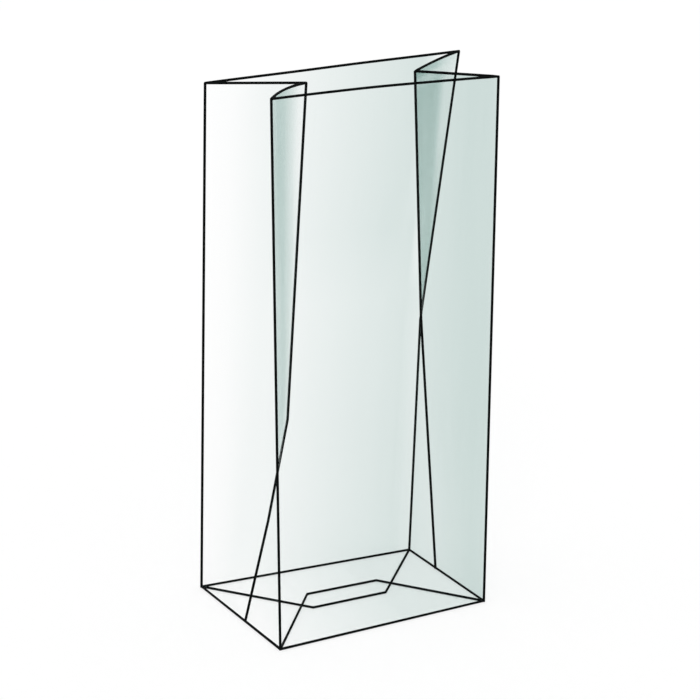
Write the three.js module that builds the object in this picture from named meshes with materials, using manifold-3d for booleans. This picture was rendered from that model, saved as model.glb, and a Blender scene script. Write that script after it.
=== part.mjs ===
// Clear cellophane bag: an open bag that stands by itself, with a tucked gusset down each narrow side
// and a block bottom. It is one tube of thin film, folded and glued, so it is one solid.
// Millimetres, +Z up, front panel towards -Y. The origin is the middle of the base, on its underside.

import * as THREE from "three";
import { mergeVertices } from "three/addons/utils/BufferGeometryUtils.js";
import Module from "manifold-3d";

const wasm = await Module();
wasm.setup();

// The flat film tube that the bag is folded from
const FILM = 0.25;              // wall as modelled; the real film is about 0.04 thick
const PANEL_WIDTH = 100;        // front panel, and the back panel like it
const SIDE_WIDTH = 61.2;        // each side, with both halves of its gusset flat
const PANEL_LENGTH = 217.6;     // from the base fold to the cut edge of the mouth
const FRONT_FLAP = 38.9;        // how far the front base flap reaches from its fold
const BACK_FLAP = 35.5;         // the same of the back flap, which is glued over the front one

// How the empty bag stands: where each corner of the mouth has moved from above its base corner
const FRONT_LEFT_LEAN = 22.2;   // backwards
const FRONT_RIGHT_LEAN = 17.6;  // backwards
const BACK_LEFT_LEAN = 1.3;     // forwards
const BACK_RIGHT_LEAN = 18.8;   // forwards
const FRONT_DRIFT = 1.7;        // front panel, to the left
const BACK_DRIFT = 5.8;         // back panel, to the left
const BACK_CUT_SKEW = 2.8;      // the back cut edge dips by this at its left end and rises at its right

// The back right corner stays upright up to a knee, where the gusset begins to pull it forwards
const CORNER_KNEE = 103.5;      // height of that knee
const CORNER_KNEE_LEAN = 1.6;   // how far it leans forwards there

// The gusset creases: from the middle of each base side inwards, with one break in direction
const LEFT_CREASE_FOOT = -3.9;  // where the crease meets the base, from the middle of that side
const RIGHT_CREASE_FOOT = 7.9;
const LEFT_KNEE = 81.4;         // height of the break in the crease
const RIGHT_KNEE = 114.5;
const LEFT_KNEE_TUCK = 20.3;    // depth of the tuck there
const RIGHT_KNEE_TUCK = 14.9;
const LEFT_MOUTH_TUCK = 29.9;   // depth of the tuck at the mouth
const RIGHT_MOUTH_TUCK = 28.8;

// Slackness of the film between the folds
const PANEL_BOW = 1.2;          // how far the front and back panels stand out at half height
const CURLED_EDGE = 3.2;        // how far the front half of the left gusset curls back at the mouth

// Fineness of the curved film
const RINGS = 30;
const PANEL_STEPS = 8;
const GUSSET_STEPS = 4;

const halfWidth = PANEL_WIDTH / 2;
const halfSide = SIDE_WIDTH / 2;

// The film layers of the block bottom lie on each other, the outer flap lowest
const LAYERS = 4;
const baseStack = LAYERS * FILM;

// A fold line runs from the base to the mouth as straight stretches between stations.
// Each station is a height share t and a point, and a point between stations is interpolated.
function pointOnFold(stations, t) {
  let upper = 1;
  while (upper < stations.length - 1 && t > stations[upper].t) upper += 1;
  const low = stations[upper - 1];
  const high = stations[upper];
  return low.point.clone().lerp(high.point, (t - low.t) / (high.t - low.t));
}

// A vertical corner of the bag: its foot, its place at the mouth, and a knee between them if it has one.
function cornerFold(side, front, drift, lean, rise, knee) {
  const foot = new THREE.Vector3(side * halfWidth, -front * halfSide, baseStack);
  const height = Math.sqrt(PANEL_LENGTH ** 2 - lean ** 2 - drift ** 2) + rise;
  const mouth = new THREE.Vector3(foot.x - drift, foot.y + front * lean, height);
  const stations = [{ t: 0, point: foot }, { t: 1, point: mouth }];
  if (knee) {
    const t = (knee.height - baseStack) / (height - baseStack);
    const point = new THREE.Vector3(foot.x - drift * t, foot.y + front * knee.lean, knee.height);
    stations.splice(1, 0, { t, point });
  }
  return stations;
}

const backRightKnee = { height: CORNER_KNEE, lean: CORNER_KNEE_LEAN };
const frontLeft = cornerFold(-1, 1, FRONT_DRIFT, FRONT_LEFT_LEAN, 0);
const frontRight = cornerFold(1, 1, FRONT_DRIFT, FRONT_RIGHT_LEAN, 0);
const backRight = cornerFold(1, -1, BACK_DRIFT, BACK_RIGHT_LEAN, BACK_CUT_SKEW, backRightKnee);
const backLeft = cornerFold(-1, -1, BACK_DRIFT, BACK_LEFT_LEAN, -BACK_CUT_SKEW);

// A gusset crease lies between two corners and is tucked inwards from the line that joins them.
function creaseFold(side, frontCorner, backCorner, foot, kneeHeight, kneeTuck, mouthTuck) {
  const between = (t) => pointOnFold(frontCorner, t).lerp(pointOnFold(backCorner, t), 0.5);
  const start = between(0).add(new THREE.Vector3(0, foot, 0));
  const mouth = between(1);
  const kneeShare = (kneeHeight - start.z) / (mouth.z - start.z);
  const knee = between(kneeShare).add(new THREE.Vector3(-side * kneeTuck, foot * (1 - kneeShare), 0));
  mouth.x -= side * mouthTuck;
  return [{ t: 0, point: start }, { t: kneeShare, point: knee }, { t: 1, point: mouth }];
}

const leftCrease = creaseFold(
  -1, frontLeft, backLeft, LEFT_CREASE_FOOT, LEFT_KNEE, LEFT_KNEE_TUCK, LEFT_MOUTH_TUCK);
const rightCrease = creaseFold(
  1, frontRight, backRight, RIGHT_CREASE_FOOT, RIGHT_KNEE, RIGHT_KNEE_TUCK, RIGHT_MOUTH_TUCK);

// The six faces of the tube, anticlockwise seen from above, each between two fold lines.
// Its bow is how far the middle of the face stands off the straight line at height share t,
// outwards unless the face names another way.
const panelBow = (t) => PANEL_BOW * Math.sin(Math.PI * t);
const curl = (t) => CURLED_EDGE * Math.max(0, 2 * t - 1);
const flat = () => 0;
const backwards = new THREE.Vector3(0, 1, 0);
const faces = [
  { from: frontLeft, to: frontRight, steps: PANEL_STEPS, bow: panelBow },
  { from: frontRight, to: rightCrease, steps: GUSSET_STEPS, bow: flat },
  { from: rightCrease, to: backRight, steps: GUSSET_STEPS, bow: flat },
  { from: backRight, to: backLeft, steps: PANEL_STEPS, bow: panelBow },
  { from: backLeft, to: leftCrease, steps: GUSSET_STEPS, bow: flat },
  { from: leftCrease, to: frontLeft, steps: GUSSET_STEPS, bow: curl, way: backwards },
];

// The outline of the tube at height share t, as a loop of points.
function outlineAt(t) {
  const loop = [];
  for (const face of faces) {
    const start = pointOnFold(face.from, t);
    const end = pointOnFold(face.to, t);
    const way = face.way ?? new THREE.Vector3(end.y - start.y, start.x - end.x, 0).normalize();
    for (let step = 0; step < face.steps; step += 1) {
      const u = step / face.steps;
      const standOff = 4 * u * (1 - u) * face.bow(t);
      loop.push(start.clone().lerp(end, u).addScaledVector(way, standOff));
    }
  }
  return loop;
}

// The same loop moved inwards by the film thickness, with a mitre at each fold.
function insetLoop(loop) {
  const outwardFrom = (a, b) => new THREE.Vector3(b.y - a.y, a.x - b.x, 0).normalize();
  return loop.map((point, i) => {
    const before = outwardFrom(loop.at(i - 1), point);
    const after = outwardFrom(point, loop[(i + 1) % loop.length]);
    const mitre = before.clone().add(after).divideScalar(1 + before.dot(after));
    return point.clone().addScaledVector(mitre, -FILM);
  });
}

// The heights of the loft: even steps, and one at each knee so that every break is sharp.
function ringShares() {
  const shares = [];
  for (let ring = 0; ring <= RINGS; ring += 1) shares.push(ring / RINGS);
  const knees = [backRight[1].t, leftCrease[1].t, rightCrease[1].t];
  const even = shares.filter((t) => knees.every((knee) => Math.abs(t - knee) > 0.3 / RINGS));
  return [...even, ...knees].sort((a, b) => a - b);
}

// The wall is lofted through its outlines, outside and inside, and closed at the mouth and the base.
function wallGeometry() {
  const outer = ringShares().map(outlineAt);
  outer.unshift(outer[0].map((point) => new THREE.Vector3(point.x, point.y, 0)));
  const inner = outer.map(insetLoop);
  const rows = [...outer, ...inner.reverse()];
  const count = outer[0].length;
  const positions = rows.flat().flatMap((point) => point.toArray());
  const index = [];
  for (let row = 0; row < rows.length; row += 1) {
    const here = row * count;
    const above = ((row + 1) % rows.length) * count;
    for (let i = 0; i < count; i += 1) {
      const next = (i + 1) % count;
      index.push(here + i, here + next, above + next, here + i, above + next, above + i);
    }
  }
  const geometry = new THREE.BufferGeometry();
  geometry.setAttribute("position", new THREE.Float32BufferAttribute(positions, 3));
  geometry.setIndex(index);
  return geometry;
}

// One film layer of the base, cut to an outline, from one layer level up to another.
function layer(outline, fromLevel, toLevel) {
  const shape = new THREE.Shape(outline.map(([x, y]) => new THREE.Vector2(x, y)));
  const depth = (toLevel - fromLevel) * FILM;
  const geometry = new THREE.ExtrudeGeometry(shape, { depth, bevelEnabled: false });
  return geometry.translate(0, 0, fromLevel * FILM);
}

// The block bottom. The side tucks fold in first, then the front flap and the back flap over them.
// Each flap's slanted ends are folds at 45 degrees, and the film behind them lies under the flap.
function baseLayers() {
  const edgeX = halfWidth - FILM / 2;
  const edgeY = halfSide - FILM / 2;
  const front = { side: -1, reach: FRONT_FLAP - FILM / 2 };
  const back = { side: 1, reach: BACK_FLAP - FILM / 2 };
  const flap = ({ side, reach }) => [
    [-edgeX, side * edgeY],
    [edgeX, side * edgeY],
    [edgeX - reach, side * (edgeY - reach)],
    [reach - edgeX, side * (edgeY - reach)],
  ];
  const turnedUnder = ({ side, reach }, end) => [
    [end * edgeX, side * edgeY],
    [end * (edgeX - reach), side * edgeY],
    [end * (edgeX - reach), side * (edgeY - reach)],
  ];
  const tuck = (end) => [
    [end * edgeX, -edgeY],
    [end * edgeX, edgeY],
    [end * (edgeX - back.reach), edgeY],
    [end * (edgeX - front.reach), -edgeY],
  ];
  return [
    layer(flap(back), 0, 1),
    layer(flap(front), 1, 2),
    layer(turnedUnder(front, -1), 2, 3),
    layer(turnedUnder(front, 1), 2, 3),
    layer(turnedUnder(back, -1), 1, 3),
    layer(turnedUnder(back, 1), 1, 3),
    layer(tuck(-1), 3, LAYERS),
    layer(tuck(1), 3, LAYERS),
  ];
}

function toSolid(geometry) {
  const bare = geometry.clone();
  bare.deleteAttribute("normal");
  bare.deleteAttribute("uv");
  const merged = mergeVertices(bare, FILM / 100);
  return new wasm.Manifold(new wasm.Mesh({
    numProp: 3,
    vertProperties: new Float32Array(merged.attributes.position.array),
    triVerts: new Uint32Array(merged.index.array),
  }));
}

function toGeometry(solid) {
  const mesh = solid.getMesh();
  const geometry = new THREE.BufferGeometry();
  geometry.setAttribute("position", new THREE.BufferAttribute(mesh.vertProperties, 3));
  geometry.setIndex(new THREE.BufferAttribute(mesh.triVerts, 1));
  geometry.computeVertexNormals();
  return geometry;
}

// The glue joins wall and base layers into one piece of film.
function filmBag() {
  let solid = toSolid(wallGeometry());
  for (const piece of baseLayers()) solid = solid.add(toSolid(piece));
  const film = new THREE.MeshStandardMaterial({
    color: "#dfe9e6",
    roughness: 0.12,
    metalness: 0,
    transparent: true,
    opacity: 0.35,
    side: THREE.DoubleSide,
  });
  const mesh = new THREE.Mesh(toGeometry(solid), film);
  mesh.name = "film_bag";
  return mesh;
}

const group = new THREE.Group();
group.add(filmBag());

export default group;
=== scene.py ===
import math

import bpy
from mathutils import Matrix, Vector, noise


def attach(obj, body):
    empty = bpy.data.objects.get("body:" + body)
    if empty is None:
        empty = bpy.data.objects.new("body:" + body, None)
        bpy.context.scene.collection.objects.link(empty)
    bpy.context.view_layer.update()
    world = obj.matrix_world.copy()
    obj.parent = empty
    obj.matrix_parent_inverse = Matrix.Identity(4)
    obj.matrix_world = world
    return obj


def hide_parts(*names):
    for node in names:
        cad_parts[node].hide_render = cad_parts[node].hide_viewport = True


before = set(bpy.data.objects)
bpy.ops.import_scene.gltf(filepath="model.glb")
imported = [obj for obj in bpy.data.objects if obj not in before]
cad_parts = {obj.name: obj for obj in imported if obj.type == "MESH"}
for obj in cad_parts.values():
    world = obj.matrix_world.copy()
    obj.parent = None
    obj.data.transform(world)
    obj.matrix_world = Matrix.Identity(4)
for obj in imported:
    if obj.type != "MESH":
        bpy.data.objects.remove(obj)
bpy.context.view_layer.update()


# Film tube: the bag is one tube of clear cellophane, 0.04 mm thick, pressed flat with a gusset
# tucked into each narrow side, then opened out. The panels hang slack between their hard folds.
MM = 0.001
FILM = 0.04 * MM
PANEL_WIDTH = 100 * MM
SIDE_WIDTH = 61.2 * MM
PANEL_LENGTH = 217.6 * MM
BASE_STACK = 4 * FILM

# Each corner of the mouth has moved from above its foot: sideways, towards the middle, and up or down
FRONT_DRIFT = -1.7 * MM
BACK_DRIFT = -5.8 * MM
FRONT_LEFT_LEAN = 22.2 * MM
FRONT_RIGHT_LEAN = 17.6 * MM
BACK_LEFT_LEAN = 1.3 * MM
BACK_RIGHT_LEAN = 18.8 * MM
BACK_CUT_SKEW = 2.8 * MM
CORNER_KNEE = 103.5 * MM
CORNER_KNEE_LEAN = 1.6 * MM

# An empty bag never stands quite square: each corner has settled a little at its foot and its mouth
FRONT_LEFT_SETTLE = Vector((-0.5, -2.1, 0)) * MM, Vector((0.1, -0.1, 0.5)) * MM
FRONT_RIGHT_SETTLE = Vector((-2.5, 0.8, 0)) * MM, Vector((-0.2, 0, -0.3)) * MM
BACK_RIGHT_SETTLE = Vector((-2.3, -4.3, 0)) * MM, Vector((1.3, -0.6, 1.2)) * MM
BACK_LEFT_SETTLE = Vector((0.5, 0.8, 0)) * MM, Vector((-2, 0.9, -1.3)) * MM

# The gusset creases run inwards from near the middle of each base side and break once in direction.
# Below that break the left one slumps inwards.
LEFT_CREASE_FOOT = -3.9 * MM
RIGHT_CREASE_FOOT = 7.8 * MM
LEFT_KNEE = 81.4 * MM
RIGHT_KNEE = 114.5 * MM
LEFT_KNEE_TUCK = 20.5 * MM
RIGHT_KNEE_TUCK = 15 * MM
LEFT_MOUTH_TUCK = 30.2 * MM
RIGHT_MOUTH_TUCK = 29.6 * MM
LEFT_SLUMP = 0.9 * MM


# A fold is a list of stations from its foot to the mouth: a share of the height and the point there
def point_on_fold(stations, t):
    upper = 1
    while upper < len(stations) - 1 and t > stations[upper][0]:
        upper += 1
    low_t, low = stations[upper - 1]
    high_t, high = stations[upper]
    return low.lerp(high, (t - low_t) / (high_t - low_t))


def corner_fold(side, front, drift, lean, rise, settle, knee=None):
    foot_settle, mouth_settle = settle
    foot = Vector((side * PANEL_WIDTH / 2, -front * SIDE_WIDTH / 2, BASE_STACK))
    height = math.sqrt(PANEL_LENGTH ** 2 - lean ** 2 - drift ** 2) + rise
    mouth = Vector((foot.x + drift, foot.y + front * lean, height))
    stations = [(0, foot + foot_settle), (1, mouth + mouth_settle)]
    if knee:
        knee_height, knee_lean = knee
        t = (knee_height - BASE_STACK) / (height - BASE_STACK)
        bend = Vector((foot.x + drift * t, foot.y + front * knee_lean, knee_height)) + foot_settle * (1 - t)
        stations.insert(1, (t, bend))
    return stations


def crease_fold(side, front_corner, back_corner, foot, knee_height, knee_tuck, mouth_tuck, slump=0):
    def between(t):
        return point_on_fold(front_corner, t).lerp(point_on_fold(back_corner, t), 0.5)

    start = between(0) + Vector((0, foot, 0))
    mouth = between(1)
    knee_t = (knee_height - start.z) / (mouth.z - start.z)
    knee = between(knee_t) + Vector((-side * knee_tuck, foot * (1 - knee_t), 0))
    mouth.x -= side * mouth_tuck
    middle = start.lerp(knee, 0.5) - Vector((side * slump, 0, 0))
    return [(0, start), (knee_t / 2, middle), (knee_t, knee), (1, mouth)]


front_left = corner_fold(-1, 1, FRONT_DRIFT, FRONT_LEFT_LEAN, 0, FRONT_LEFT_SETTLE)
front_right = corner_fold(1, 1, FRONT_DRIFT, FRONT_RIGHT_LEAN, 0, FRONT_RIGHT_SETTLE)
back_right = corner_fold(
    1, -1, BACK_DRIFT, BACK_RIGHT_LEAN, BACK_CUT_SKEW, BACK_RIGHT_SETTLE, (CORNER_KNEE, CORNER_KNEE_LEAN))
back_left = corner_fold(-1, -1, BACK_DRIFT, BACK_LEFT_LEAN, -BACK_CUT_SKEW, BACK_LEFT_SETTLE)
left_crease = crease_fold(
    -1, front_left, back_left, LEFT_CREASE_FOOT, LEFT_KNEE, LEFT_KNEE_TUCK, LEFT_MOUTH_TUCK, LEFT_SLUMP)
right_crease = crease_fold(
    1, front_right, back_right, RIGHT_CREASE_FOOT, RIGHT_KNEE, RIGHT_KNEE_TUCK, RIGHT_MOUTH_TUCK)
fold_lines = [front_left, front_right, right_crease, back_right, back_left, left_crease]

# The panels stand out a little at half height and swing back at the mouth, where two of the gusset
# halves curl back too
PANEL_BOW = 1.2 * MM
FRONT_SWING = 2 * MM
BACK_SWING = 0.3 * MM
CURLED_EDGE = 2.5 * MM
SLIGHT_CURL = 1 * MM
BACKWARDS = Vector((0, 1, 0))
PANEL_STEPS = 28
GUSSET_STEPS = 14
RINGS = 96


def upper_half(t):
    return max(0.0, 2 * t - 1)


def front_bow(t):
    return PANEL_BOW * math.sin(math.pi * t) - FRONT_SWING * upper_half(t)


def back_bow(t):
    return PANEL_BOW * math.sin(math.pi * t) + BACK_SWING * upper_half(t)


def curl(t):
    return CURLED_EDGE * upper_half(t)


def slight_curl(t):
    return SLIGHT_CURL * upper_half(t)


def no_bow(t):
    return 0.0


# The film's grey-green cast is laid on as painted shade: deep in the gussets and towards the right, light
# towards the left, and clear on the front panel. A ramp runs across a face, in pairs of a place and a
# density, and each face lists its ramps by the share of the height they are at. At a density of 1 the film
# would let a little over a third of the red light through.
CLEAR = [(0, 0), (1, 0)]
BACK_LOW = [(0, 0.26), (0.08, 0.34), (0.9, 0.01), (1, 0)]
BACK_MID = [(0, 0.02), (0.06, 0.08), (0.085, 0.36), (0.2, 0.36), (0.9, 0.01), (1, 0)]
BACK_HIGH = [(0, 0.02), (0.06, 0.05), (0.14, 0.38), (0.9, 0.01), (1, 0)]
RIGHT_FRONT_LOW = [(0, 0.4), (0.08, 0.43), (0.3, 0.43), (1, 0.32)]
RIGHT_FRONT_HIGH = [(0, 0.43), (0.08, 0.48), (0.3, 0.49), (1, 0.37)]
RIGHT_BACK_LOW = [(0, 0.28), (1, 0.33)]
RIGHT_BACK_MID = [(0, 0.3), (0.6, 0.42), (1, 0.28)]
RIGHT_BACK_HIGH = [(0, 0.25), (0.28, 0.32), (0.42, 0.42), (0.6, 0.42), (0.76, 0.04), (1, 0)]
RIGHT_BACK_TOP = [(0, 0.1), (0.37, 0.17), (0.62, 0.42), (1, 0.28)]
RIGHT_BACK_RIM = [(0, 0.55), (0.25, 0.57), (0.5, 0.7), (0.75, 0.44), (1, 0.3)]
LEFT_BACK = [(0, 0), (0.6, 0.04), (1, 0)]
LEFT_FRONT_KNEE = [(0, 0.15), (0.5, 0.44), (1, 0.37)]
LEFT_FRONT_MID = [(0, 0), (0.225, 0.24), (0.57, 0.5), (1, 0.32)]
LEFT_FRONT_HIGH = [(0, 0), (0.12, 0), (0.5, 0.47), (0.69, 0.58), (1, 0.4)]
faces = [
    {"from": front_left, "to": front_right, "steps": PANEL_STEPS, "bow": front_bow,
     "painted_shade_casts": [(0, CLEAR), (1, CLEAR)]},
    {"from": front_right, "to": right_crease, "steps": GUSSET_STEPS, "bow": no_bow,
     "painted_shade_casts": [(0, RIGHT_FRONT_LOW), (0.35, RIGHT_FRONT_HIGH), (1, RIGHT_FRONT_HIGH)]},
    {"from": right_crease, "to": back_right, "steps": GUSSET_STEPS, "bow": slight_curl, "way": BACKWARDS,
     "painted_shade_casts": [(0, RIGHT_BACK_LOW), (0.55, RIGHT_BACK_LOW), (0.67, RIGHT_BACK_MID), (0.85, RIGHT_BACK_HIGH),
               (0.958, RIGHT_BACK_HIGH), (0.969, RIGHT_BACK_TOP), (0.979, RIGHT_BACK_TOP),
               (0.989, RIGHT_BACK_RIM), (1, RIGHT_BACK_RIM)]},
    {"from": back_right, "to": back_left, "steps": 2 * PANEL_STEPS, "bow": back_bow,
     "painted_shade_casts": [(0, BACK_LOW), (0.53, BACK_LOW), (0.67, BACK_MID), (0.85, BACK_HIGH), (1, BACK_HIGH)]},
    {"from": back_left, "to": left_crease, "steps": GUSSET_STEPS, "bow": no_bow,
     "painted_shade_casts": [(0, LEFT_BACK), (1, LEFT_BACK)]},
    {"from": left_crease, "to": front_left, "steps": GUSSET_STEPS, "bow": curl, "way": BACKWARDS,
     "painted_shade_casts": [(0, CLEAR), (0.25, CLEAR), (0.42, LEFT_FRONT_KNEE), (0.65, LEFT_FRONT_MID),
               (0.85, LEFT_FRONT_HIGH), (1, LEFT_FRONT_HIGH)]},
]

# The slack shows as shallow waves, longer up the bag than across it. The base holds the lowest part
# of the walls straight, and each fold holds the film along its whole length.
SLACK = 0.45 * MM
SLACK_PITCH = 38 * MM
SLACK_STRETCH = 2
HELD_BY_BASE = 1 / 6


def film_point(face, u, t):
    start = point_on_fold(face["from"], t)
    end = point_on_fold(face["to"], t)
    outward = Vector((end.y - start.y, start.x - end.x, 0)).normalized()
    point = start.lerp(end, u)
    play = 4 * u * (1 - u)
    point += face.get("way", outward) * play * face["bow"](t)
    wave = noise.noise(Vector((point.x, point.y, point.z / SLACK_STRETCH)) / SLACK_PITCH)
    return point + outward * play * min(1.0, t / HELD_BY_BASE) * SLACK * wave


def between_stops(stops, x):
    for (low_x, low), (high_x, high) in zip(stops, stops[1:]):
        if x <= high_x:
            return low + (high - low) * (x - low_x) / (high_x - low_x)
    return stops[-1][1]


# A wall has two surfaces, so each of them takes half of its density
def surface_cast(density):
    return 1 - math.exp(-density / 2)


# Painted shade: the cast of a face at one place on it, read from the face's ramps
def film_painted_shade(face, u, t):
    heights_and_densities = [(share, between_stops(ramp, u)) for share, ramp in face["painted_shade_casts"]]
    return surface_cast(between_stops(heights_and_densities, t))


# The rings lie evenly up the tube. Each bend of a fold gets a ring of its own in place of any other
# that lies too near it.
LEAST_RING_GAP = 0.3 / RINGS
columns = [(face, step / face["steps"]) for face in faces for step in range(face["steps"])]
bends = [back_right[1][0], left_crease[1][0], left_crease[2][0], right_crease[2][0]]
even = [ring / RINGS for ring in range(RINGS + 1)]
clear_of_bends = [t for t in even if min(abs(t - bend) for bend in bends) > LEAST_RING_GAP]
heights = sorted(clear_of_bends + bends)

bpy.ops.object.select_all(action="DESELECT")
bpy.ops.mesh.primitive_cylinder_add(
    vertices=len(columns), radius=PANEL_WIDTH / 2, depth=PANEL_LENGTH, end_fill_type="NOTHING")
bag = bpy.context.object
bag.name = "folded_film"
bpy.ops.object.mode_set(mode="EDIT")
bpy.ops.mesh.select_mode(type="EDGE")
bpy.ops.mesh.select_all(action="DESELECT")
bpy.ops.object.mode_set(mode="OBJECT")
for edge in bag.data.edges:
    low, high = (bag.data.vertices[i].co for i in edge.vertices)
    edge.select = abs(low.z - high.z) > PANEL_LENGTH / 2
bpy.ops.object.mode_set(mode="EDIT")
bpy.ops.mesh.subdivide(number_cuts=len(heights) - 2)
bpy.ops.object.mode_set(mode="OBJECT")
places = []
for vertex in bag.data.vertices:
    turn = math.atan2(vertex.co.y, vertex.co.x) / (2 * math.pi)
    column = round(turn * len(columns)) % len(columns)
    ring = round((vertex.co.z / PANEL_LENGTH + 0.5) * (len(heights) - 1))
    places.append((column, heights[ring]))
    vertex.co = film_point(*columns[column], heights[ring])

# The cast, which carries the painted shade, is kept at the corners of each mesh face, so that it stops at a
# fold
painted_shade_casts = []
for quad in bag.data.polygons:
    sides = {places[i][0] for i in quad.vertices}
    first = max(sides) if sides == {0, len(columns) - 1} else min(sides)
    face, u = columns[first]
    for i in quad.vertices:
        column, t = places[i]
        beyond = 0 if column == first else 1 / face["steps"]
        painted_shade_casts.append(film_painted_shade(face, u + beyond, t))
bag.data.attributes.new("cast", "FLOAT", "CORNER").data.foreach_set("value", painted_shade_casts)
wall = bag.modifiers.new("film thickness", "SOLIDIFY")
wall.thickness = FILM
wall.offset = -1
bpy.ops.object.modifier_apply(modifier=wall.name)

# Only a bend sharper than this is shaded as a fold
FOLD_ANGLE = math.radians(20)
bpy.ops.object.shade_smooth_by_angle(angle=FOLD_ANGLE)


def linear(code):
    values = [int(code[i:i + 2], 16) / 255 for i in (1, 3, 5)]
    return [v / 12.92 if v <= 0.04045 else ((v + 0.055) / 1.055) ** 2.4 for v in values] + [1]


def add(tree, kind, settings=None, **links):
    node = tree.nodes.new(kind)
    for key, value in (settings or {}).items():
        if key in node.inputs:
            node.inputs[key].default_value = value
        else:
            setattr(node, key, value)
    for key, source in links.items():
        tree.links.new(source, node.inputs[key.replace("_", " ")])
    return node


def new_material(name):
    material = bpy.data.materials.new(name)
    material.use_nodes = True
    material.node_tree.nodes.clear()
    return material, material.node_tree


# Cellophane: regenerated cellulose cast into a clear, glossy film. The eye sees through it as through
# a faint grey-green filter, laid on deeper or lighter across each face as painted shade, and the casting
# has left fine lines along it.
# The lines are drawn coarser than the real ones, so that they show.
FILM_IOR = 1.47
FILM_FILTER = "#009081"
FILM_SURFACE = "#c2dcd6"
CASTING_LINE_PITCH = 2.2 * MM
CASTING_LINE_LENGTH = 250 * MM
CASTING_LINE_DEPTH = 0.02 * MM
CASTING_STREAK = 0.04
GLINT = 0.15
film_material, tree = new_material("cast_cellophane")
place = add(tree, "ShaderNodeTexCoord").outputs["Object"]
along = add(tree, "ShaderNodeMapping", {
    "Scale": (1 / CASTING_LINE_PITCH, 1 / CASTING_LINE_PITCH, 1 / CASTING_LINE_LENGTH),
}, Vector=place)
lines = add(tree, "ShaderNodeTexNoise", {"Scale": 1.0, "Detail": 2.0}, Vector=along.outputs["Vector"])
bump = add(tree, "ShaderNodeBump", {
    "Strength": 0.15, "Distance": CASTING_LINE_DEPTH,
}, Height=lines.outputs["Fac"])
# The cast attribute carries the painted shade, which deepens the grey-green filter place by place
depth = add(tree, "ShaderNodeAttribute", {"attribute_name": "cast"})
streak = add(tree, "ShaderNodeMapRange", {
    "To Min": 1 - CASTING_STREAK, "To Max": 1 + CASTING_STREAK,
}, Value=lines.outputs["Fac"])
strength = add(tree, "ShaderNodeMath", {"operation": "MULTIPLY"})
tree.links.new(depth.outputs["Fac"], strength.inputs[0])
tree.links.new(streak.outputs["Result"], strength.inputs[1])
tint = add(tree, "ShaderNodeMixRGB", {"Color1": (1, 1, 1, 1), "Color2": linear(FILM_FILTER)})
tree.links.new(strength.outputs["Value"], tint.inputs["Fac"])
clear = add(tree, "ShaderNodeBsdfTransparent", Color=tint.outputs["Color"])
gloss = add(tree, "ShaderNodeBsdfPrincipled", {
    "Base Color": linear(FILM_SURFACE), "Roughness": 0.08, "IOR": FILM_IOR,
}, Normal=bump.outputs["Normal"])

# The gloss grows with the slant of the view, up to GLINT, and only on the side that faces the eye
slant = add(tree, "ShaderNodeFresnel", {"IOR": FILM_IOR})
inner = add(tree, "ShaderNodeNewGeometry").outputs["Backfacing"]
share = add(tree, "ShaderNodeMapRange", {"To Min": GLINT, "To Max": 0.0}, Value=inner)
glint = add(tree, "ShaderNodeMath", {"operation": "MULTIPLY"})
tree.links.new(slant.outputs["Fac"], glint.inputs[0])
tree.links.new(share.outputs["Result"], glint.inputs[1])
film_shader = add(tree, "ShaderNodeMixShader", Fac=glint.outputs["Value"])
tree.links.new(clear.outputs["BSDF"], film_shader.inputs[1])
tree.links.new(gloss.outputs["BSDF"], film_shader.inputs[2])
add(tree, "ShaderNodeOutputMaterial", Surface=film_shader.outputs["Shader"])
bag.data.materials.append(film_material)
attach(bag, "root")
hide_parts("film_bag")


# Block bottom: below the base fold the same film is folded in. The side tucks go first, then the
# front flap and the back flap over them, each with slanted ends, glued to each other where they overlap.
FRONT_FLAP = 38.3 * MM
BACK_FLAP = 34.9 * MM
FRONT_FLAP_ENDS = 36.4 * MM, 29.9 * MM
BACK_FLAP_ENDS = 32 * MM, 32.7 * MM

# The levels count the layers up from the floor. A layer is a little thinner than its level, so that it
# stays clear of the next one.
BACK_FLAP_LEVEL = 0
FRONT_FLAP_LEVEL = 1
TUCK_LEVEL = 3
LAYER = 0.8 * FILM
SHEET_CUTS = 23
# Painted shade on the base: its cast starts faint at the left, rises to the right, fades a little towards
# the back and is held below a most
BASE_PAINTED_SHADE_LEFT = 0.01
BASE_PAINTED_SHADE_RISE = 0.31
BASE_PAINTED_SHADE_FADE = 0.05
BASE_PAINTED_SHADE_MOST = 0.2
half_width = PANEL_WIDTH / 2 - FILM
half_side = SIDE_WIDTH / 2 - FILM


def on_base(x, y, z):
    share = x / PANEL_WIDTH + 0.5
    near = front_left[0][1].lerp(front_right[0][1], share)
    far = back_left[0][1].lerp(back_right[0][1], share)
    point = near.lerp(far, y / SIDE_WIDTH + 0.5)
    return Vector((point.x, point.y, z))


def flap_edge(reach, ends, x):
    return reach * min(1, (half_width + x) / ends[0], (half_width - x) / ends[1]) - half_side


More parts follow.
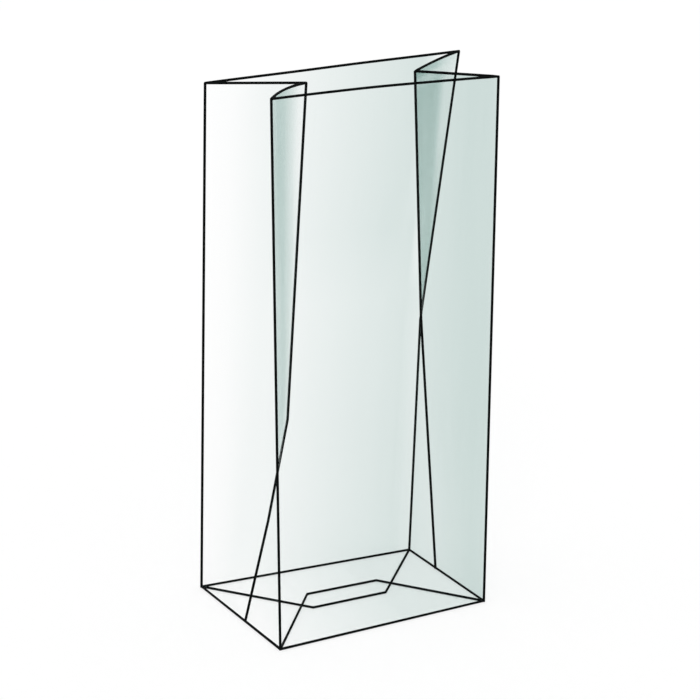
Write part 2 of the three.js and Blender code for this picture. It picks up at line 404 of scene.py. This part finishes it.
def base_sheet(name, outline, level, density):
    bpy.ops.object.select_all(action="DESELECT")
    bpy.ops.mesh.primitive_plane_add(size=1)
    sheet = bpy.context.object
    sheet.name = name
    bpy.ops.object.mode_set(mode="EDIT")
    bpy.ops.mesh.select_all(action="SELECT")
    bpy.ops.mesh.subdivide(number_cuts=SHEET_CUTS)
    bpy.ops.object.mode_set(mode="OBJECT")
    corners = [Vector(corner) for corner in outline]
    painted_shade_tones = []
    for vertex in sheet.data.vertices:
        across = vertex.co.x + 0.5
        back = vertex.co.y + 0.5
        x, y = corners[0].lerp(corners[1], across).lerp(corners[3].lerp(corners[2], across), back)
        vertex.co = on_base(x, y, (level + 1) * FILM)
        painted_shade_tones.append(surface_cast(density(x, y)))
    painted_shade_casts = [painted_shade_tones[loop.vertex_index] for loop in sheet.data.loops]
    sheet.data.attributes.new("cast", "FLOAT", "CORNER").data.foreach_set("value", painted_shade_casts)
    solid = sheet.modifiers.new("film thickness", "SOLIDIFY")
    solid.thickness = LAYER
    solid.offset = -1
    bpy.ops.object.modifier_apply(modifier=solid.name)
    sheet.data.materials.append(film_material)
    return sheet


# The glue makes the layers look like one film, so only one layer at each place has a cast. That cast is
# painted shade: it grows to the right and fades a little towards the back.
def front_painted_shade(x, y):
    rise = BASE_PAINTED_SHADE_RISE * (x / PANEL_WIDTH + 0.5) - BASE_PAINTED_SHADE_FADE * (y / SIDE_WIDTH + 0.5)
    return min(BASE_PAINTED_SHADE_MOST, max(0.0, BASE_PAINTED_SHADE_LEFT + rise))


def back_painted_shade(x, y):
    glued = y < flap_edge(FRONT_FLAP, FRONT_FLAP_ENDS, x)
    return 0.0 if glued else front_painted_shade(x, y)


def tuck_painted_shade(x, y):
    covered = y < flap_edge(FRONT_FLAP, FRONT_FLAP_ENDS, x) or -y < flap_edge(BACK_FLAP, BACK_FLAP_ENDS, x)
    return 0.0 if covered else front_painted_shade(x, y)


def join_to_bag(pieces):
    bpy.ops.object.select_all(action="DESELECT")
    for piece in [bag, *pieces]:
        piece.select_set(True)
    bpy.context.view_layer.objects.active = bag
    bpy.ops.object.join()


front_tip = FRONT_FLAP - half_side
back_tip = half_side - BACK_FLAP
front_flap = [
    (-half_width, -half_side), (half_width, -half_side),
    (half_width - FRONT_FLAP_ENDS[1], front_tip), (FRONT_FLAP_ENDS[0] - half_width, front_tip)]
back_flap = [
    (BACK_FLAP_ENDS[0] - half_width, back_tip), (half_width - BACK_FLAP_ENDS[1], back_tip),
    (half_width, half_side), (-half_width, half_side)]
left_tuck = [
    (-half_width, -half_side), (FRONT_FLAP - half_width, -half_side),
    (BACK_FLAP - half_width, half_side), (-half_width, half_side)]
right_tuck = [
    (half_width - FRONT_FLAP, -half_side), (half_width, -half_side),
    (half_width, half_side), (half_width - BACK_FLAP, half_side)]
join_to_bag([
    base_sheet("back_flap", back_flap, BACK_FLAP_LEVEL, back_painted_shade),
    base_sheet("front_flap", front_flap, FRONT_FLAP_LEVEL, front_painted_shade),
    base_sheet("left_tuck", left_tuck, TUCK_LEVEL, tuck_painted_shade),
    base_sheet("right_tuck", right_tuck, TUCK_LEVEL, tuck_painted_shade),
])


# Folds and cut edges: where the film is folded hard or cut it is slightly rolled, and it bends the
# light out of the way, so that against a pale ground each one shows as a fine dark line.
# A real one is about 0.1 mm across. It is drawn 1.1 mm across, so that it shows.
ROLL = 0.54 * MM


def dark_edge(name, points):
    data = bpy.data.curves.new(name, "CURVE")
    data.dimensions = "3D"
    data.bevel_depth = ROLL
    data.bevel_resolution = 2
    data.use_fill_caps = True
    spline = data.splines.new("POLY")
    spline.points.add(len(points) - 1)
    for spot, point in zip(spline.points, points):
        spot.co = (*point, 1)
    edge = bpy.data.objects.new(name, data)
    bpy.context.collection.objects.link(edge)
    bpy.ops.object.select_all(action="DESELECT")
    edge.select_set(True)
    bpy.context.view_layer.objects.active = edge
    bpy.ops.object.convert(target="MESH")
    return edge


def floor_line(corners):
    return [on_base(x, y, ROLL) for x, y in corners]


mouth_rim = [film_point(face, u, 1) for face, u in columns]
base_rim = floor_line([front_flap[0], front_flap[1], back_flap[2], back_flap[3]])
edges = [dark_edge("fold", [point for t, point in line]) for line in fold_lines]
edges.append(dark_edge("mouth_cut", mouth_rim + mouth_rim[:1]))
edges.append(dark_edge("base_fold", base_rim + base_rim[:1]))
edges.append(dark_edge("front_flap_edge", floor_line(front_flap[1:] + front_flap[:1])))
edges.append(dark_edge("back_flap_edge", floor_line(back_flap[3:] + back_flap[:3])))

# Rolled fold: painted shade, nearly black, for the film where it bends the light away, and it gives hardly
# any gloss back
FOLD_SHADE_COLOUR = "#050808"
EDGE_ROUGHNESS = 0.7, 0.9
GRAINS_PER_MM = 0.9
fold_material, tree = new_material("folded_film_edge")
place = add(tree, "ShaderNodeTexCoord").outputs["Object"]
grain = add(tree, "ShaderNodeTexNoise", {"Scale": GRAINS_PER_MM / MM}, Vector=place)
tone = add(tree, "ShaderNodeMapRange", {
    "To Min": EDGE_ROUGHNESS[0], "To Max": EDGE_ROUGHNESS[1],
}, Value=grain.outputs["Fac"])
fold_shader = add(tree, "ShaderNodeBsdfPrincipled", {
    "Base Color": linear(FOLD_SHADE_COLOUR), "Specular IOR Level": 0.05,
}, Roughness=tone.outputs["Result"])
add(tree, "ShaderNodeOutputMaterial", Surface=fold_shader.outputs["BSDF"])
for piece in edges:
    piece.data.materials.clear()
    piece.data.materials.append(fold_material)
join_to_bag(edges)


# Floor: a plain sweep that keeps the bag's faint shadow. Its grey paint also glows, but only for the
# camera and for reflections, so that it looks white without throwing more light on the bag.
FLOOR_SIZE = 12000 * MM
FLOOR_DROP = 0.1 * MM
FLOOR_PAINT = "#a0a0a0"
FLOOR_GLOW = 0.65
bpy.ops.object.select_all(action="DESELECT")
bpy.ops.mesh.primitive_plane_add(size=FLOOR_SIZE, location=(0, 0, -FLOOR_DROP))
floor = bpy.context.object
floor.name = "floor"
floor_material, tree = new_material("white_floor")
ray = add(tree, "ShaderNodeLightPath")
paint = add(tree, "ShaderNodeBsdfDiffuse", {"Color": linear(FLOOR_PAINT)})
seen = add(tree, "ShaderNodeMath", {"operation": "MAXIMUM"})
tree.links.new(ray.outputs["Is Camera Ray"], seen.inputs[0])
tree.links.new(ray.outputs["Is Glossy Ray"], seen.inputs[1])
glow = add(tree, "ShaderNodeEmission", {
    "Color": (FLOOR_GLOW, FLOOR_GLOW, FLOOR_GLOW, 1),
}, Strength=seen.outputs[0])
both = tree.nodes.new("ShaderNodeAddShader")
tree.links.new(paint.outputs[0], both.inputs[0])
tree.links.new(glow.outputs[0], both.inputs[1])
add(tree, "ShaderNodeOutputMaterial", Surface=both.outputs[0])
floor.data.materials.append(floor_material)


# Light: an even white surround, which the camera and reflections see as plain white, and one soft sun
# that comes from behind the camera and above it.
SURROUND = 0.8
SUN = 1.0
SUN_SPREAD = math.radians(25)
SUN_TILT = math.radians(48)
SUN_TURN = math.radians(-35)
world = bpy.data.worlds.new("studio")
bpy.context.scene.world = world
world.use_nodes = True
tree = world.node_tree
tree.nodes.clear()
ray = add(tree, "ShaderNodeLightPath")
direct = add(tree, "ShaderNodeMath", {"operation": "MAXIMUM"})
tree.links.new(ray.outputs["Is Camera Ray"], direct.inputs[0])
tree.links.new(ray.outputs["Is Glossy Ray"], direct.inputs[1])
level = add(tree, "ShaderNodeMapRange", {"To Min": SURROUND, "To Max": 1.0}, Value=direct.outputs[0])
sky = add(tree, "ShaderNodeBackground", {"Color": (1, 1, 1, 1)}, Strength=level.outputs["Result"])
add(tree, "ShaderNodeOutputWorld", Surface=sky.outputs["Background"])
sun_data = bpy.data.lights.new("sun", "SUN")
sun_data.energy = SUN
sun_data.angle = SUN_SPREAD
sun = bpy.data.objects.new("sun", sun_data)
sun.rotation_euler = (SUN_TILT, 0, SUN_TURN)
bpy.context.collection.objects.link(sun)


# Camera: a long lens 1.3 m in front of the bag, to its left and a little above it. Its place, turn and
# focal length follow from the perspective of the reference, 700 pixels wide.
CAMERA_PLACE = Vector((-665.1, -1012.8, 556.3)) * MM
CAMERA_RIGHT = Vector((0.84714, -0.52869, 0.05331))
CAMERA_DOWN = Vector((-0.14231, -0.32239, -0.93585))
FOCAL_PIXELS = 3277.1
PICTURE_PIXELS = 700
SENSOR_MM = 36
NEAREST = 50 * MM
camera_data = bpy.data.cameras.new("camera")
camera_data.sensor_width = SENSOR_MM
camera_data.sensor_fit = "HORIZONTAL"
camera_data.lens = FOCAL_PIXELS / PICTURE_PIXELS * SENSOR_MM
camera_data.clip_start = NEAREST
camera = bpy.data.objects.new("camera", camera_data)
bpy.context.collection.objects.link(camera)
right = CAMERA_RIGHT.normalized()
up = -CAMERA_DOWN.normalized()
turn = Matrix((right, up, right.cross(up))).transposed().to_4x4()
camera.matrix_world = Matrix.Translation(CAMERA_PLACE) @ turn
bpy.context.scene.camera = camera

# A line of sight may pass this many surfaces of film and still reach the floor behind them
SURFACES_SEEN_THROUGH = 48
scene = bpy.context.scene
scene.view_settings.view_transform = "Standard"
scene.cycles.transparent_max_bounces = SURFACES_SEEN_THROUGH
